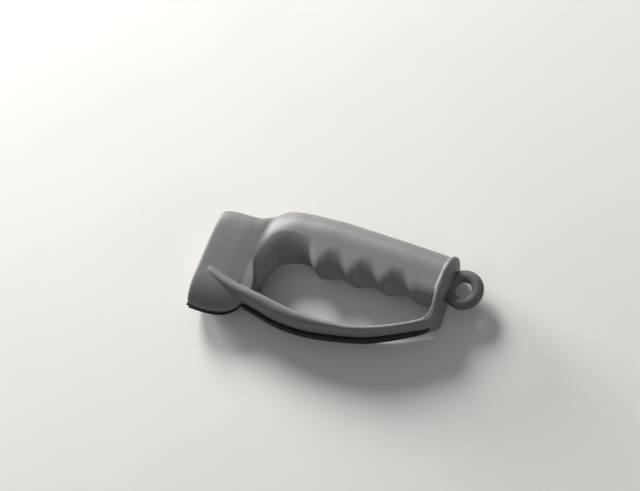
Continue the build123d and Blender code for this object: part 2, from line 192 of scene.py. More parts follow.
def flow(rows, place):
    """Row of a table at any place, on a smooth curve through the rows around it."""
    last = len(rows) - 1
    index = 0
    while index < last - 1 and rows[index + 1][0] < place:
        index += 1
    before = rows[max(index - 1, 0)]
    start = rows[index]
    end = rows[index + 1]
    after = rows[min(index + 2, last)]
    span = end[0] - start[0]
    run = (place - start[0]) / span
    values = []
    for a, b, c, d in zip(before, start, end, after):
        leave = (c - a) / (end[0] - before[0]) * span
        arrive = (d - b) / (after[0] - start[0]) * span
        value = b * (2 * run**3 - 3 * run**2 + 1) + leave * (run**3 - 2 * run**2 + run)
        values.append(value + c * (3 * run**2 - 2 * run**3) + arrive * (run**3 - run**2))
    return values


def places(rows, step):
    """Places along a table, its own rows and evenly spaced ones between them."""
    found = [rows[0][0]]
    for start, end in zip(rows, rows[1:]):
        count = max(1, round((end[0] - start[0]) / step))
        for index in range(1, count + 1):
            found.append(between(start[0], end[0], index / count))
    return found


# Modelling by hand

PIN_SIDES = 64
MERGE = 0.002 * MM
DISSOLVE_ANGLE = math.radians(1)
SMOOTH_ANGLE = math.radians(32)
SMOOTH_FACTOR = 0.5


def alone(*pieces):
    """Selects these pieces and nothing else."""
    bpy.ops.object.select_all(action="DESELECT")
    for piece in pieces:
        piece.select_set(True)
    bpy.context.view_layer.objects.active = pieces[-1]
    return pieces[-1]


def loft(name, rings):
    """Extrudes a ring of points from each section to the next; both ends are closed."""
    bpy.ops.object.select_all(action="DESELECT")
    bpy.ops.mesh.primitive_circle_add(vertices=len(rings[0]), radius=HALF_WIDTH, fill_type="NGON")
    piece = bpy.context.object
    piece.name = name
    bpy.ops.object.mode_set(mode="EDIT")
    mesh = bmesh.from_edit_mesh(piece.data)
    mesh.verts.ensure_lookup_table()
    for vertex, point in zip(mesh.verts, rings[0]):
        vertex.co = point
    for ring, following in zip(rings, rings[1:]):
        step = following[0] - ring[0]
        bpy.ops.mesh.extrude_region_move(TRANSFORM_OT_translate={"value": step})
        tree = KDTree(len(ring))
        for index, point in enumerate(ring):
            tree.insert(point + step, index)
        tree.balance()
        mesh = bmesh.from_edit_mesh(piece.data)
        for vertex in mesh.verts:
            if vertex.select:
                vertex.co = following[tree.find(vertex.co)[1]]
        bmesh.update_edit_mesh(piece.data)
    bpy.ops.mesh.select_all(action="SELECT")
    bpy.ops.mesh.normals_make_consistent(inside=False)
    bpy.ops.object.mode_set(mode="OBJECT")
    return piece


def block(name, low, high):
    """A plain block between two corners, as a tool for cutting."""
    bpy.ops.object.select_all(action="DESELECT")
    middle = (Vector(low) + Vector(high)) / 2
    size = Vector(high) - Vector(low)
    bpy.ops.mesh.primitive_cube_add(size=1, location=middle, scale=size)
    bpy.ops.object.transform_apply(location=True, rotation=True, scale=True)
    bpy.context.object.name = name
    return bpy.context.object


def pin(name, place, radius, low, high):
    """A plain pin along Z, as a tool for cutting."""
    bpy.ops.object.select_all(action="DESELECT")
    middle = (place[0], place[1], (low + high) / 2)
    bpy.ops.mesh.primitive_cylinder_add(
        vertices=PIN_SIDES, radius=radius, depth=high - low, location=middle
    )
    bpy.ops.object.transform_apply(location=True, rotation=True, scale=True)
    bpy.context.object.name = name
    return bpy.context.object


def work(piece, kind, **settings):
    """Adds a modifier with its settings and applies it."""
    alone(piece)
    modifier = piece.modifiers.new(kind, kind)
    for key, value in settings.items():
        setattr(modifier, key, value)
    bpy.ops.object.modifier_apply(modifier=modifier.name)
    return piece


def broken(piece, width, segments=2):
    """A piece with its sharp edges broken by a narrow bevel."""
    settings = {"width": width, "segments": segments, "angle_limit": SMOOTH_ANGLE}
    return work(piece, "BEVEL", limit_method="ANGLE", **settings)


def melted(piece, grain, softness):
    """A piece made one skin of even faces, with its inner corners melted."""
    work(piece, "REMESH", mode="VOXEL", voxel_size=grain)
    return work(piece, "SMOOTH", factor=SMOOTH_FACTOR, iterations=softness)


def cut(piece, tool, operation="DIFFERENCE"):
    """Cuts a piece with a tool, which is kept."""
    return work(piece, "BOOLEAN", operation=operation, solver="MANIFOLD", object=tool)


def drop(*tools):
    """Deletes tools that are no longer needed."""
    alone(*tools)
    bpy.ops.object.delete()


def fused(*tools):
    """Tools that overlap, made one solid."""
    for tool in tools[1:]:
        cut(tools[0], tool, "UNION")
    drop(*tools[1:])
    return tools[0]


def gathered(*tools):
    """Pieces gathered in one object: tools that cut in one go, or parts to be melted."""
    alone(*tools)
    bpy.ops.object.join()
    return bpy.context.object


def double(piece, name):
    """A second piece with a mesh of its own."""
    alone(piece)
    bpy.ops.object.duplicate()
    bpy.context.object.name = name
    return bpy.context.object


def traced(node, name):
    """A copy of a CAD piece with its loose triangles merged into clean faces."""
    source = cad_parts[node]
    piece = bpy.data.objects.new(name, source.data.copy())
    bpy.context.scene.collection.objects.link(piece)
    alone(piece)
    bpy.ops.object.mode_set(mode="EDIT")
    bpy.ops.mesh.select_all(action="SELECT")
    bpy.ops.mesh.remove_doubles(threshold=MERGE)
    bpy.ops.mesh.dissolve_limited(angle_limit=DISSOLVE_ANGLE)
    bpy.ops.object.mode_set(mode="OBJECT")
    return piece


def finished(piece, material, slot, *nodes):
    """Gives a piece its finish and puts it in the place of its CAD nodes."""
    piece.data.materials.clear()
    piece.data.materials.append(material)
    alone(piece)
    bpy.ops.object.shade_smooth_by_angle(angle=SMOOTH_ANGLE)
    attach(piece, BODY)
    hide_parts(*nodes)
    if not piece.data.polygons:
        raise RuntimeError(piece.name + " has no faces left")


# Materials

# Numbers of the Mix node's sockets for colours, and where the cloudy patterns start and end
MIX_SHARE, MIX_FIRST, MIX_SECOND = 0, 6, 7
MIX_COLOUR = 2
CLOUD_BAND = (0.3, 0.7)
FLOOR_BOUNCE = 0.42


class Wire:
    """A shader socket that takes part in sums; each sum adds a Math node."""

    def __init__(self, paint, socket):
        """A socket of a paint's material."""
        self.paint = paint
        self.socket = socket

    def sum(self, operation, first, second):
        """A Math node on two values."""
        return self.paint.add("ShaderNodeMath", {"operation": operation}, {0: first, 1: second})

    def __add__(self, other):
        return self.sum("ADD", self, other)

    def __radd__(self, other):
        return self.sum("ADD", other, self)

    def __sub__(self, other):
        return self.sum("SUBTRACT", self, other)

    def __rsub__(self, other):
        return self.sum("SUBTRACT", other, self)

    def __mul__(self, other):
        return self.sum("MULTIPLY", self, other)

    def __rmul__(self, other):
        return self.sum("MULTIPLY", other, self)

    def sway(self, amount):
        """A pattern from 0 to 1 turned into a change of either sign."""
        return (self - 0.5) * amount


class Paint:
    """A material that is built node by node."""

    def __init__(self, name):
        """An empty material."""
        self.material = bpy.data.materials.new(name)
        self.material.use_nodes = True
        self.tree = self.material.node_tree
        self.tree.nodes.clear()

    def add(self, kind, settings=None, sockets=None, output=0):
        """Any node: its settings first, then the values or links of its sockets."""
        node = self.tree.nodes.new(kind)
        for key, value in (settings or {}).items():
            setattr(node, key, value)
        for key, value in (sockets or {}).items():
            if isinstance(value, Wire):
                self.tree.links.new(value.socket, node.inputs[key])
            else:
                node.inputs[key].default_value = value
        return Wire(self, node.outputs[output]) if node.outputs else None

    def place(self):
        """Place on the piece, in metres."""
        return self.add("ShaderNodeTexCoord", output="Object")

    def part_of(self, axis):
        """One coordinate of the place on the piece."""
        return self.add("ShaderNodeSeparateXYZ", sockets={0: self.place()}, output=axis)

    def noise(self, size, detail=2.0, stretch=(1, 1, 1)):
        """Cloudy pattern with features of a size."""
        stretched = {"Vector": self.place(), "Scale": stretch}
        spread = self.add("ShaderNodeMapping", {"vector_type": "POINT"}, stretched)
        sockets = {"Vector": spread, "Scale": 1 / size, "Detail": detail}
        return self.add("ShaderNodeTexNoise", sockets=sockets)

    def band(self, value, low, high):
        """Rises from 0 to 1 as a value passes from low to high."""
        sockets = {"Value": value, "From Min": low, "From Max": high}
        return self.add("ShaderNodeMapRange", {"interpolation_type": "SMOOTHSTEP"}, sockets)

    def blend(self, share, first, second):
        """A colour between two colours."""
        sockets = {MIX_SHARE: share, MIX_FIRST: first, MIX_SECOND: second}
        return self.add("ShaderNodeMix", {"data_type": "RGBA"}, sockets, MIX_COLOUR)

    def clouded(self, cloud, colour, dark, light):
        """A colour that drifts between a darker and a lighter tone with a pattern."""
        share = self.band(cloud, *CLOUD_BAND)
        return self.blend(share, tone(colour, dark), tone(colour, light))

    def relief(self, height, strength, distance):
        """Surface relief from a height."""
        sockets = {"Height": height, "Strength": strength, "Distance": distance}
        return self.add("ShaderNodeBump", sockets=sockets)

    def shade(self, **sockets):
        """The surface shader, wired to the output."""
        named = {key.replace("_", " "): value for key, value in sockets.items()}
        shader = self.add("ShaderNodeBsdfPrincipled", sockets=named)
        self.add("ShaderNodeOutputMaterial", sockets={"Surface": shader})
        return self.material


def tone(colour, factor):
    """A colour made lighter or darker, as numbers."""
    return tuple(channel * factor for channel in colour[:3]) + (1.0,)


def grey_plastic(colour):
    """Satin moulded plastic with a fine eroded grain, handled and faintly scuffed."""
    paint = Paint("grey_satin_plastic")
    cloud = paint.noise(size=22 * MM, detail=3)
    mottle = paint.noise(size=3.5 * MM, detail=4)
    grain = paint.noise(size=0.22 * MM, detail=3)
    scratch = paint.noise(size=1.4 * MM, detail=5, stretch=(0.18, 1, 1))
    scuff = paint.band(scratch, 0.62, 0.74) * paint.band(cloud, 0.46, 0.62)
    flecks = paint.band(grain, 0.60, 0.72)
    body = paint.clouded(cloud * 0.55 + mottle * 0.45, colour, dark=0.95, light=1.05)
    body = paint.blend(flecks * 0.25, body, tone(colour, 1.14))
    body = paint.blend(scuff * 0.3, body, tone(colour, 1.3))
    handled = paint.band(paint.part_of("X"), along(0.27), along(0.4))
    rough = 0.50 + mottle.sway(0.10) + grain.sway(0.12) + scuff * 0.05 - handled * 0.04
    relief = paint.relief(grain * 0.75 + mottle * 0.25, strength=0.22, distance=0.05 * MM)
    return paint.shade(Base_Color=body, Roughness=rough, Normal=relief, IOR=1.49)


def black_plastic(colour):
    """Hard black moulded plastic, with a finer grain than the shells."""
    paint = Paint("black_moulded_plastic")
    cloud = paint.noise(size=6 * MM, detail=3)
    grain = paint.noise(size=0.18 * MM, detail=2)
    swept = paint.noise(size=0.8 * MM, detail=4, stretch=(0.12, 1, 1))
    dust = paint.band(swept, 0.60, 0.75)
    body = paint.clouded(cloud, colour, dark=0.85, light=1.2)
    body = paint.blend(dust * 0.18, body, tone(colour, 4))
    rough = 0.62 + cloud.sway(0.14) + dust * 0.08
    relief = paint.relief(grain, strength=0.18, distance=0.04 * MM)
    return paint.shade(Base_Color=body, Roughness=rough, Normal=relief, IOR=1.4)


def soft_black(colour):
    """Soft grippy strip, matt, with dust caught in its skin."""
    paint = Paint("soft_black_strip")
    cloud = paint.noise(size=9 * MM, detail=3)
    skin = paint.noise(size=0.35 * MM, detail=4)
    lint = paint.band(paint.noise(size=0.7 * MM, detail=5), 0.64, 0.74)
    body = paint.clouded(cloud, colour, dark=0.8, light=1.25)
    body = paint.blend(lint * 0.2, body, tone(colour, 3.5))
    rough = 0.74 + cloud.sway(0.12) + skin.sway(0.10)
    relief = paint.relief(skin, strength=0.35, distance=0.06 * MM)
    return paint.shade(Base_Color=body, Roughness=rough, Normal=relief, IOR=1.46)


def ring_plastic(colour):
    """Moulded ring with fine lighter flecks in its grain, its grey set darker than the shells' grey
    as painted shade.
    """
    paint = Paint("ring_grey_darkened_as_shade")
    cloud = paint.noise(size=7 * MM, detail=3)
    mottle = paint.noise(size=1.6 * MM, detail=4)
    grain = paint.noise(size=0.2 * MM, detail=3)
    body = paint.clouded(cloud, colour, dark=0.92, light=1.08)
    body = paint.blend(paint.band(grain, 0.60, 0.72) * 0.2, body, tone(colour, 1.25))
    rough = 0.62 + mottle.sway(0.12) + grain.sway(0.08)
    relief = paint.relief(grain * 0.8 + mottle * 0.2, strength=0.22, distance=0.05 * MM)
    return paint.shade(Base_Color=body, Roughness=rough, Normal=relief, IOR=1.49)


def ground_carbide(colour):
    """Ground hard metal, with fine grinding lines across the blade."""
    paint = Paint("ground_carbide")
    lines = paint.noise(size=0.12 * MM, detail=3, stretch=(1, 0.05, 1))
    cloud = paint.noise(size=2 * MM, detail=2)
    ground = paint.band(lines, 0.35, 0.65)
    body = paint.blend(ground, tone(colour, 0.85), tone(colour, 1.1))
    rough = 0.3 + lines.sway(0.2) + cloud.sway(0.1)
    relief = paint.relief(lines, strength=0.3, distance=0.01 * MM)
    return paint.shade(Base_Color=body, Roughness=rough, Normal=relief, Metallic=1)


def zinc_steel(colour):
    """Zinc plated screws, slightly clouded, with turning marks."""
    paint = Paint("zinc_plated_steel")
    cloud = paint.noise(size=0.9 * MM, detail=4)
    turned = paint.noise(size=0.1 * MM, detail=2, stretch=(1, 1, 0.2))
    body = paint.clouded(cloud, colour, dark=0.85, light=1.12)
    rough = 0.34 + cloud.sway(0.25)
    relief = paint.relief(turned, strength=0.2, distance=0.01 * MM)
    return paint.shade(Base_Color=body, Roughness=rough, Normal=relief, Metallic=1)


def pale_floor(colour):
    """Plain pale studio floor with the faintest unevenness, darker where it only lights."""
    paint = Paint("pale_floor")
    cloud = paint.noise(size=60 * MM, detail=3)
    seen = paint.add("ShaderNodeLightPath", output="Is Camera Ray")
    for ray in ("Is Glossy Ray", "Is Transmission Ray"):
        seen = seen + paint.add("ShaderNodeLightPath", output=ray)
    pale = paint.clouded(cloud, colour, dark=0.985, light=1)
    body = paint.blend(seen, tone(colour, FLOOR_BOUNCE), pale)
    return paint.shade(Base_Color=body, Roughness=0.85)


# The forms of the body

ROUND_STEPS = 12
SIDE_STEPS = 5
RIM_STEPS = 4
OUTER_STEPS = 10
BODY_STEP = 1.3 * MM
QUARTER = math.pi / 2
SKIN_SIDES = (SEAM_Z - HALF_WIDTH - OVERRUN, SEAM_Z + HALF_WIDTH + OVERRUN)
PILLOW_SEGMENTS, PILLOW_RINGS = 64, 32


def wave(turn, skew):
    """Wave from 0 to 1 and back over a full turn, whose top a skew moves forward."""
    return (1 - math.cos(turn + math.pi * skew * (1 - math.cos(turn)))) / 2


def handle_rows():
    """Rows of the handle, in the order of the head's table, with the grooves as one wave."""
    start = FIRST_CREST_SHARE * BODY_LENGTH
    end = HANDLE_END_SHARE * BODY_LENGTH
    step = GROOVE_PITCH / GROOVE_STATIONS
    count = int((end - start) / step)
    peak, back, back_end = BACK_SHARES
    rows = []
    for index in range(count + 1):
        distance = end if index == count else start + index * step
        turn = 2 * math.pi * (distance - start) / GROOVE_PITCH
        groove = lobe = 0
        if distance - start <= GROOVES * GROOVE_PITCH:
            groove = wave(turn, GROOVE_SKEW)
            lobe = 1 - (1 - wave(turn, LOBE_SKEW)) ** LOBE_FULLNESS
        share = distance / BODY_LENGTH
        run = (distance - start) / (end - start)
        fall = ((share - peak) / (HANDLE_END_SHARE - peak)) ** 2
        rows.append(
            (
                along(share),
                up(between(back, back_end, fall)),
                up(SIDE_SHARES[0]),
                up(SIDE_SHARES[1]) + GROOVE_SIDE_RISE * lobe,
                up(between(*CREST_SHARES, run)) + GROOVE_DEPTH * groove,
                between(*THICKNESS_SHARES, run) * HALF_WIDTH,
                HANDLE_ROUNDNESS,
                between(CREST_ROUNDNESS, GROOVE_ROUNDNESS, lobe),
            )
        )
    return rows


def body_rows():
    """Rows of the whole grip from the front of the head to the end plate."""
    rows = []
    for x, top, high, low, bottom, thick, over, under in HEAD_SHARES:
        levels = [up(share) for share in (top, high, low, bottom)]
        rows.append((along(x), *levels, thick * HALF_WIDTH, over, under))
    return rows + handle_rows()


def rounded(corner_y, side_y, thickness, roundness, angle):
    """Point of a section's rounded quarter, from the side at 0 to its middle at a right angle."""
    sine, cosine = math.sin(angle), max(0.0, math.cos(angle))
    spread = (cosine**roundness + sine**roundness) ** (1 / roundness)
    return (side_y + (corner_y - side_y) * sine / spread, thickness * cosine / spread)


def whole_ring(x, near):
    """Ring round a section, from the points of its near half."""
    far = [(y, -z) for y, z in reversed(near[1:-1])]
    return [Vector((x, y, SEAM_Z + z)) for y, z in near + far]


def body_ring(rows, x):
    """Ring of points round the head or handle, whose lower half follows the lean of the grooves."""
    _, top, high, _, _, thick, over, _ = flow(rows, x)
    run = min(1, max(0, ((x - FRONT_X) / BODY_LENGTH - LEAN_FROM) / (LEAN_TO - LEAN_FROM)))
    lean = GROOVE_LEAN * run * run * (3 - 2 * run)
    near = []
    for step in range(ROUND_STEPS + 1):
        angle = QUARTER * (1 - step / ROUND_STEPS)
        ahead = min(x + lean * math.cos(angle), rows[-1][0])
        _, _, _, low, bottom, _, _, under = flow(rows, ahead)
        near.append(rounded(bottom, low, thick, under, angle))
    low = near[-1][0]
    for step in range(1, SIDE_STEPS):
        near.append((between(low, high, step / SIDE_STEPS), thick))
    for step in range(ROUND_STEPS + 1):
        near.append(rounded(top, high, thick, over, QUARTER * step / ROUND_STEPS))
    return whole_ring(x, near)


def guard_ring(row):
    """Ring of points round the guard: flat inside, a narrow side face and a crowned outside."""
    x, inner, crown, width = row
    rim = BODY_HEIGHT * between(*RIM_SHARES, x)
    inside, outside, side = up(inner), up(crown), width * HALF_WIDTH
    shoulder = inside - rim
    near = [(inside, side * share) for share in GUARD_INNER_SHARES]
    for step in range(RIM_STEPS + 1):
        angle = QUARTER * step / RIM_STEPS
        turn = RIM_ROUND * (1 - math.cos(angle))
        near.append((inside - turn, side - RIM_ROUND * (1 - math.sin(angle))))
    for step in range(OUTER_STEPS + 1):
        angle = QUARTER * step / OUTER_STEPS
        near.append((between(shoulder, outside, math.sin(angle)), side * math.cos(angle)))
    return whole_ring(along(x), near)


def plate_profile():
    """Outline of the end plate seen from the side, with its foot turned out."""
    back = along(1.0)
    face = back - PLATE_THICKNESS
    foot_x = back + PLATE_FOOT_REACH
    heel = Vector((back - PLATE_HEEL_BACK, up(PLATE_HEEL)))
    foot = Vector((foot_x, up(PLATE_FOOT)))
    lean = PLATE_LEAN_SHARE * PLATE_FOOT_REACH
    outer = [(up(PLATE_BEND), back), (up(PLATE_LEAN), back + lean), (up(PLATE_FOOT), foot_x)]
    inner = [
        (up(PLATE_CROOK[1]), along(PLATE_CROOK[0])),
        (up(PLATE_FOOT), foot_x - PLATE_FOOT_THICKNESS),
        (up(PLATE_LEAN), face + lean),
        (up(PLATE_BEND), face),
    ]
    points = [Vector((face, NEAR_HIGH.y)), Vector((back, NEAR_HIGH.y))]
    for y in curve_steps(outer[0][0], outer[-1][0]):
        points.append(Vector((flow(outer[::-1], y)[1], y)))
    chord = heel - foot
    rise = math.sqrt(PLATE_FOOT_ROUND**2 - (chord.length / 2) ** 2)
    centre = (foot + heel) / 2 + Vector((chord.y, -chord.x)).normalized() * rise
    start = math.atan2(foot.y - centre.y, foot.x - centre.x)
    end = math.atan2(heel.y - centre.y, heel.x - centre.x)
    for step in range(1, OUTER_STEPS):
        angle = between(start, end, step / OUTER_STEPS)
        points.append(centre + PLATE_FOOT_ROUND * Vector((math.cos(angle), math.sin(angle))))
    points.append(heel)
    for y in curve_steps(inner[0][0], inner[-1][0]):
        points.append(Vector((flow(inner, y)[1], y)))
    return points


def curve_steps(start, end):
    """Evenly spaced values from start to end."""
    return [between(start, end, step / OUTER_STEPS) for step in range(OUTER_STEPS + 1)]


def plate_outline():
    """Outline of the end plate seen from behind: a tongue with a round top."""
    centre = NEAR_HIGH.y - HALF_WIDTH
    widths = [
        (up(PLATE_HEEL), PLATE_FOOT_SHARE * HALF_WIDTH),
        (up(PLATE_LEAN), PLATE_WAIST_SHARE * HALF_WIDTH),
        (centre, HALF_WIDTH),
    ]
    near = [(up(0), 0), (up(0), PLATE_FOOT_SHARE * HALF_WIDTH)]
    near += [(y, flow(widths, y)[1]) for y in curve_steps(widths[0][0], centre)]
    for step in range(1, 2 * OUTER_STEPS + 1):
        angle = QUARTER * step / (2 * OUTER_STEPS)
        side = HALF_WIDTH * max(0.0, math.cos(angle))
        near.append((centre + HALF_WIDTH * math.sin(angle), side))
    return near


def trimmed(piece, tool):
    """A plain solid cut down to what it shares with another, which is used up."""
    work(piece, "BOOLEAN", operation="INTERSECT", solver="EXACT", object=tool)
    drop(tool)
    return piece


def plate_form():
    """The end plate: its outline from the side, trimmed to its outline from behind."""
    profile = plate_profile()
    plate = loft("plate", [[Vector((p.x, p.y, z)) for p in profile] for z in SKIN_SIDES])
    rings = [whole_ring(along(share), plate_outline()) for share in TONGUE_SHARES]
    return trimmed(plate, loft("tongue", rings))


def pillow_form():
    """The pillow that domes the outer face of the end plate."""
    bpy.ops.object.select_all(action="DESELECT")
    bpy.ops.mesh.primitive_uv_sphere_add(
        segments=PILLOW_SEGMENTS,
        ring_count=PILLOW_RINGS,
        radius=1,
        location=(along(1) - PILLOW_SINK, up(PILLOW_LEVEL), SEAM_Z),
        scale=(PILLOW_BULGE + PILLOW_SINK, PILLOW_HALF_HEIGHT, PILLOW_HALF_WIDTH),
    )
    bpy.ops.object.transform_apply(location=True, rotation=True, scale=True)
    return bpy.context.object


def web_form(rows):
    """The web that fills the corner of head and guard: the head's section run on, and trimmed."""
    section = body_ring(rows, along(WEB_SECTION))
    ends = (WEB_SHARES[0][0] - WEB_OVERRUN_SHARE, WEB_SHARES[1][0] + WEB_OVERRUN_SHARE)
    web = loft("web", [[Vector((along(end), p.y, p.z)) for p in section] for end in ends])
    rings = [[Vector((along(x), up(y), z)) for x, y in WEB_SHARES] for z in SKIN_SIDES]
    return trimmed(web, loft("web_outline", rings))


def outside_form(grain, softness):
    """The whole outside in one skin: grip, guard and end plate melted together and softened."""
    rows = body_rows()
    grip = loft("grip", [body_ring(rows, x) for x in places(rows, BODY_STEP)])
    work(grip, "SUBSURF", levels=1, render_levels=1)
    guard_places = places(GUARD_SHARES, BODY_STEP / BODY_LENGTH)
    guard = loft("guard", [guard_ring(flow(GUARD_SHARES, x)) for x in guard_places])
    work(guard, "SUBSURF", levels=1, render_levels=1)
    web = web_form(rows)
    plate = plate_form()
    skin = gathered(pillow_form(), web, grip, guard, plate)
    skin.name = "outside"
    return melted(skin, grain, softness)


# What is cut into the shells

BLOCK_HALF_WIDTH = 2.4 * MM
BLOCK_TAIL_HALF_WIDTH = 0.9 * MM
NOSE_SINK = 0.15 * MM
BLOCK_WIDE_HALF_WIDTH = 5.6 * MM
BLOCK_FRONT_WALL = 2.0 * MM
BLOCK_BACK, BLOCK_TAIL = 0.140, 0.219
NOSE_TOP, WIDE_BOTTOM, BLOCK_TOP, TAIL_TOP = 0.138, 0.116, 0.285, 0.172

STRIP_HALF_WIDTH = 3.0 * MM
STRIP_DEPTH = 1.4 * MM
STRIP_STAND = 1.7 * MM
STRIP_LEAST = 0.15 * MM
STRIP_CROWN_SHARE = 0.45
STRIP_CORNER = 0.5 * MM
STRIP_START_GAP = 0.3 * MM
STRIP_ROUND_STEPS = 8
STRIP_ROUND_CURVES = (1.3, 0.8)
CORNER_SHARE = 0.3
STRIP_THIN_FROM, STRIP_THIN_TO = 0.68, 1.0
STRIP_NARROW_FROM, STRIP_NARROW_SHARE = 0.93, 0.35

EYE_REACH = 8.4 * MM
EYE_RING_RADIUS = 7.1 * MM
EYE_WIRE_RADIUS = 3.0 * MM
EYE_BORE_RADIUS = 4.3 * MM
EYE_STEM_HALF_HEIGHT = 4.0 * MM
EYE_STEM_HALF_WIDTH = 2.4 * MM
EYE_FLANGE_HALF_HEIGHT = 6.0 * MM
EYE_FLANGE_HALF_WIDTH = 3.6 * MM
EYE_FLANGE_THICKNESS = 2.5 * MM
EYE_FLANGE_GAP = 1.5 * MM
EYE_LEVEL = 0.777
EYE_CLEAR = 0.02 * MM
EYE_SOFTNESS = 3
EYE_STEPS, EYE_WIRE_STEPS = 96, 40
FLANGE_X = along(1) - PLATE_THICKNESS - EYE_FLANGE_GAP - EYE_FLANGE_THICKNESS

SCREW_SHARES = [(0.095, 0.577), (0.236, 0.760), (0.545, 0.808), (0.870, 0.808)]
SCREW_RADIUS = 1.5 * MM
SCREW_LENGTH = 10.0 * MM
SCREW_TIP_GAP = 0.5 * MM
SCREW_HEAD_RADIUS = 2.75 * MM
SCREW_HEAD_GAP = 0.25 * MM
SCREW_SEAT_Z = 6.0 * MM
BOSS_RADIUS = 4.0 * MM

HOLLOWS = [
    ((0.030, 0.150, 0.335, 0.690), 6.4 * MM),
    ((0.320, 0.925, 0.690, 0.915), 6.2 * MM),
]
HOLLOW_ROUND = 2.5 * MM
HOLLOW_ROUND_STEPS = 6


def block_envelope(gap):
    """Solid round the guide block: a narrow foot that thins towards its tail, and the middle."""
    below = up(0) - OVERRUN
    cheek = FRONT_X + BLOCK_FRONT_WALL - gap
    back, tail = along(BLOCK_BACK), along(BLOCK_TAIL)
    front = FRONT_X - OVERRUN if gap else FRONT_X + NOSE_SINK
    rings = []
    for x, top, half in (
        (front, NOSE_TOP, BLOCK_HALF_WIDTH),
        (cheek, NOSE_TOP, BLOCK_HALF_WIDTH),
        (cheek + gap, TAIL_TOP, BLOCK_HALF_WIDTH),
        (back, TAIL_TOP, BLOCK_HALF_WIDTH),
        (tail + gap, TAIL_TOP, BLOCK_TAIL_HALF_WIDTH),
    ):
        side, above = half + gap, up(top) + gap
        corners = ((below, -side), (below, side), (above, side), (above, -side))
        rings.append([Vector((x, y, SEAM_Z + z)) for y, z in corners])
    wide = BLOCK_WIDE_HALF_WIDTH + gap
    low = (cheek, up(WIDE_BOTTOM) - gap, SEAM_Z - wide)
    high = (back + gap, up(BLOCK_TOP) + gap, SEAM_Z + wide)
    return fused(loft("foot_tool", rings), block("middle_tool", low, high))


def eye_torus(wire):
    """The plain ring of the hanging eye."""
    bpy.ops.object.select_all(action="DESELECT")
    bpy.ops.mesh.primitive_torus_add(
        location=(along(1) + EYE_REACH, up(EYE_LEVEL), SEAM_Z),
        major_segments=EYE_STEPS,
        minor_segments=EYE_WIRE_STEPS,
        major_radius=EYE_RING_RADIUS,
        minor_radius=wire,
    )
    bpy.ops.object.transform_apply(location=True, rotation=True, scale=True)
    return bpy.context.object


def eye_root(gap, reach):
    """Flange and stem of the hanging eye, or the tools for their seat with a gap round them."""
    y = up(EYE_LEVEL)
    high, wide = EYE_FLANGE_HALF_HEIGHT + gap, EYE_FLANGE_HALF_WIDTH + gap
    flange = block(
        "flange",
        (FLANGE_X - gap, y - high, SEAM_Z - wide),
        (FLANGE_X + EYE_FLANGE_THICKNESS + gap, y + high, SEAM_Z + wide),
    )
    high, wide = EYE_STEM_HALF_HEIGHT + gap, EYE_STEM_HALF_WIDTH + gap
    stem = block(
        "stem",
        (FLANGE_X + FIT - gap, y - high, SEAM_Z - wide),
        (along(1) + reach, y + high, SEAM_Z + wide),
    )
    return flange, stem


def eye_tool():
    """Tool for the seat of the hanging eye: its ring, its flange and its stem."""
    return fused(eye_torus(EYE_WIRE_RADIUS + FIT), *eye_root(FIT, OVERRUN))


def hollow_tools():
    """Tools for the hollows of the shells, with the screw bosses left standing."""
    tools = []
    for (left, right, bottom, top), half in HOLLOWS:
        low = (along(left), up(bottom), SEAM_Z - half)
        tool = block("hollow_tool", low, (along(right), up(top), SEAM_Z + half))
        bpy.ops.object.mode_set(mode="EDIT")
        bpy.ops.mesh.select_mode(type="EDGE")
        bpy.ops.mesh.select_all(action="DESELECT")
        mesh = bmesh.from_edit_mesh(tool.data)
        for edge in mesh.edges:
            first, second = edge.verts
            edge.select_set(abs(first.co.z - second.co.z) > half)
        bmesh.update_edit_mesh(tool.data)
        bpy.ops.mesh.bevel(offset=HOLLOW_ROUND, segments=HOLLOW_ROUND_STEPS)
        bpy.ops.mesh.select_mode(type="VERT")
        bpy.ops.object.mode_set(mode="OBJECT")
        for x, y in SCREW_SHARES:
            ends = (SEAM_Z - HALF_WIDTH, SEAM_Z + HALF_WIDTH)
            boss = pin("boss", (along(x), up(y)), BOSS_RADIUS, *ends)
            cut(tool, boss)
            drop(boss)
        tools.append(tool)
    return tools


def screw_tools():
    """Tools for the shell screws: core holes for the near shell, and seats for the far one."""
    cores, seats = [], []
    tip = SCREW_SEAT_Z + SCREW_LENGTH + SCREW_TIP_GAP
    for x, y in SCREW_SHARES:
        place = (along(x), up(y))
        cores.append(pin("core", place, SCREW_RADIUS, SEAM_Z - OVERRUN, tip))
        shank = pin("shank", place, SCREW_RADIUS + FIT, 0, SEAM_Z + OVERRUN)
        head = pin("head", place, SCREW_HEAD_RADIUS + SCREW_HEAD_GAP, -OVERRUN, SCREW_SEAT_Z)
        seats.append(fused(shank, head))
    return gathered(*cores), gathered(*seats)


def strip_ring(share, half, deep, stand, extra, corner):
    """Ring of points round the guard's strip, with rounded corners and a crowned outer face."""
    late = max(0, (share - STRIP_THIN_FROM) / (STRIP_THIN_TO - STRIP_THIN_FROM))
    out = stand * (1 - late**2) + extra
    end = max(0, (share - STRIP_NARROW_FROM) / (STRIP_THIN_TO - STRIP_NARROW_FROM))
    half *= between(1, STRIP_NARROW_SHARE, end**2)
    crown = up(flow(GUARD_SHARES, share)[2])
    floor, side_end = crown + deep, crown - out * (1 - STRIP_CROWN_SHARE)
    near = [(floor, 0), (floor, half / 2), (floor, half - corner)]
    near.append((floor - corner * CORNER_SHARE, half - corner * CORNER_SHARE))
    near += [(floor - corner, half), ((floor + side_end) / 2, half)]
    out_curve, side_curve = STRIP_ROUND_CURVES
    for step in range(1, STRIP_ROUND_STEPS):
        angle = QUARTER * step / STRIP_ROUND_STEPS
        bulge = out * STRIP_CROWN_SHARE * math.sin(angle) ** out_curve
        near.append((side_end - bulge, half * math.cos(angle) ** side_curve))
    near.append((side_end - out * STRIP_CROWN_SHARE, 0))
    return whole_ring(along(share), near)


